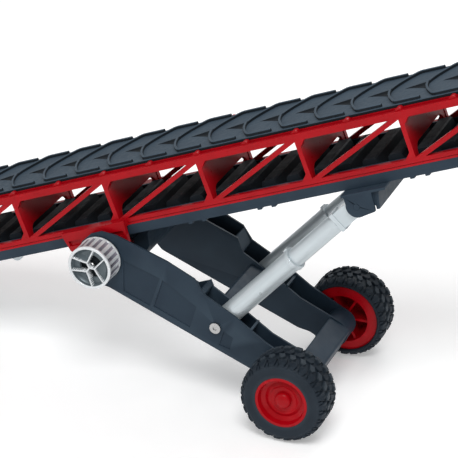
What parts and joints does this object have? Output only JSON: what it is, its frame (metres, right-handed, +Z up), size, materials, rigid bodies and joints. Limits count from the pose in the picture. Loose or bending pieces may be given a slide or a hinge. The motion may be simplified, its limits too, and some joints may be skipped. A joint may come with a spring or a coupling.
{
  "type": "grain auger",
  "caption": "Wheeled tilting grain conveyor: open lattice boom with a chevron belt, feed hopper, swinging arms with lift cylinders, and a hand knob for the belt.",
  "frame": {"origin": "on the ground, at the middle of the sole of the tail foot", "axes": "+X towards the discharge end, +Y across the boom away from the knob, +Z up"},
  "size_m": [0.6362, 0.1478, 0.2778],
  "materials": {
    "red_plastic": "glossy moulded red",
    "dark_plastic": "satin slate grey",
    "silver_plastic": "silver lacquered",
    "belt_rubber": "matt black-grey",
    "tyre_rubber": "matt black",
    "roller_rubber": "matt black",
    "steel": "plain",
    "gear_plastic": "natural"
  },
  "bodies": {
    "chassis": {"arm_near": "dark_plastic", "arm_far": "dark_plastic", "cross_beam": "dark_plastic", "axle_beam": "dark_plastic", "wheel_axle": "steel", "cylinder_lower_pins": "steel"},
    "wheel_near": {"rim_near": "red_plastic", "tyre_near": "tyre_rubber", "hub_cap_near": "red_plastic"},
    "wheel_far": {"rim_far": "red_plastic", "tyre_far": "tyre_rubber", "hub_cap_far": "red_plastic"},
    "boom": {"side_frame_near": "red_plastic", "side_frame_far": "red_plastic", "cross_frames": "red_plastic", "belt_rails": "red_plastic", "return_tray": "dark_plastic", "belt": "belt_rubber", "tail_end_plates": "red_plastic", "head_end_plates": "red_plastic", "discharge_hood": "red_plastic", "belt_scraper": "dark_plastic", "end_plate_screws": "steel", "feed_hopper": "red_plastic", "tail_foot": "dark_plastic", "pivot_bracket_near": "red_plastic", "pivot_bracket_far": "red_plastic", "pivot_bushes": "steel", "drive_housing_near": "dark_plastic", "drive_housing_far": "dark_plastic", "cylinder_clevis": "dark_plastic", "cylinder_upper_pins": "dark_plastic", "tow_bracket": "dark_plastic", "tow_pin": "steel"},
    "knob": {"knob": "silver_plastic", "knob_face": "silver_plastic", "knob_shaft": "steel", "drive_pinion": "gear_plastic", "shaft_clip": "steel"},
    "drive_roller": {"drive_roller": "roller_rubber", "driven_gear": "gear_plastic", "roller_axle": "steel"},
    "head_drum": {"head_drum": "dark_plastic", "head_axle": "steel"},
    "tail_drum": {"tail_drum": "dark_plastic", "tail_axle": "steel"},
    "tow_bar": {"tow_bar": "silver_plastic"},
    "barrel_near": {"cylinder_barrel_near": "silver_plastic", "cylinder_gland_near": "silver_plastic"},
    "rod_near": {"cylinder_rod_near": "silver_plastic", "rod_eye_near": "silver_plastic"},
    "barrel_far": {"cylinder_barrel_far": "silver_plastic", "cylinder_gland_far": "silver_plastic"},
    "rod_far": {"cylinder_rod_far": "silver_plastic", "rod_eye_far": "silver_plastic"}
  },
  "joints": [
    {"name": "boom_tilt", "type": "hinge", "parent": "chassis", "child": "boom", "pos_m": [0.24683, 0, 0.09152], "axis": [0, -1, 0], "range_deg": [0, 14]},
    {"name": "cylinder_near_pivot", "type": "hinge", "parent": "chassis", "child": "barrel_near", "pos_m": [0.32695, -0.0344, 0.05582], "axis": [0, -1, 0], "range_deg": [-1, 17]},
    {"name": "cylinder_near_slide", "type": "slide", "parent": "barrel_near", "child": "rod_near", "axis": [0.6735, 0, 0.7392], "range_m": [-0.001, 0.022]},
    {"name": "cylinder_far_pivot", "type": "hinge", "parent": "chassis", "child": "barrel_far", "pos_m": [0.32695, 0.0344, 0.05582], "axis": [0, -1, 0], "range_deg": [-1, 17]},
    {"name": "cylinder_far_slide", "type": "slide", "parent": "barrel_far", "child": "rod_far", "axis": [0.6735, 0, 0.7392], "range_m": [-0.001, 0.022]},
    {"name": "wheel_near_spin", "type": "hinge", "parent": "chassis", "child": "wheel_near", "pos_m": [0.383, -0.06, 0.0286], "axis": [0, 1, 0], "continuous": true},
    {"name": "wheel_far_spin", "type": "hinge", "parent": "chassis", "child": "wheel_far", "pos_m": [0.383, 0.06, 0.0286], "axis": [0, 1, 0], "continuous": true},
    {"name": "knob_turn", "type": "hinge", "parent": "boom", "child": "knob", "pos_m": [0.24683, -0.052, 0.09152], "axis": [0, -1, 0], "continuous": true},
    {"name": "roller_turn", "type": "hinge", "parent": "boom", "child": "drive_roller", "pos_m": [0.26083, 0, 0.09692], "axis": [0, -1, 0], "continuous": true},
    {"name": "head_drum_turn", "type": "hinge", "parent": "boom", "child": "head_drum", "pos_m": [0.56327, 0, 0.2484], "axis": [0, -1, 0], "continuous": true},
    {"name": "tail_drum_turn", "type": "hinge", "parent": "boom", "child": "tail_drum", "pos_m": [0.00816, 0, 0.0342], "axis": [0, -1, 0], "continuous": true},
    {"name": "tow_bar_swing", "type": "hinge", "parent": "boom", "child": "tow_bar", "pos_m": [0.16517, 0, 0.06065], "axis": [0, -1, 0], "range_deg": [0, 60]}
  ],
  "couplings": [
    {"joint": "roller_turn", "follows": "knob_turn", "ratio": -0.875},
    {"joint": "head_drum_turn", "follows": "knob_turn", "ratio": 0.425},
    {"joint": "tail_drum_turn", "follows": "knob_turn", "ratio": 0.425},
    {"joint": "cylinder_near_pivot", "follows": "boom_tilt", "ratio": 1.12},
    {"joint": "cylinder_near_slide", "follows": "boom_tilt", "m_per_rad": 0.084798},
    {"joint": "cylinder_far_pivot", "follows": "boom_tilt", "ratio": 1.12},
    {"joint": "cylinder_far_slide", "follows": "boom_tilt", "m_per_rad": 0.084798}
  ]
}
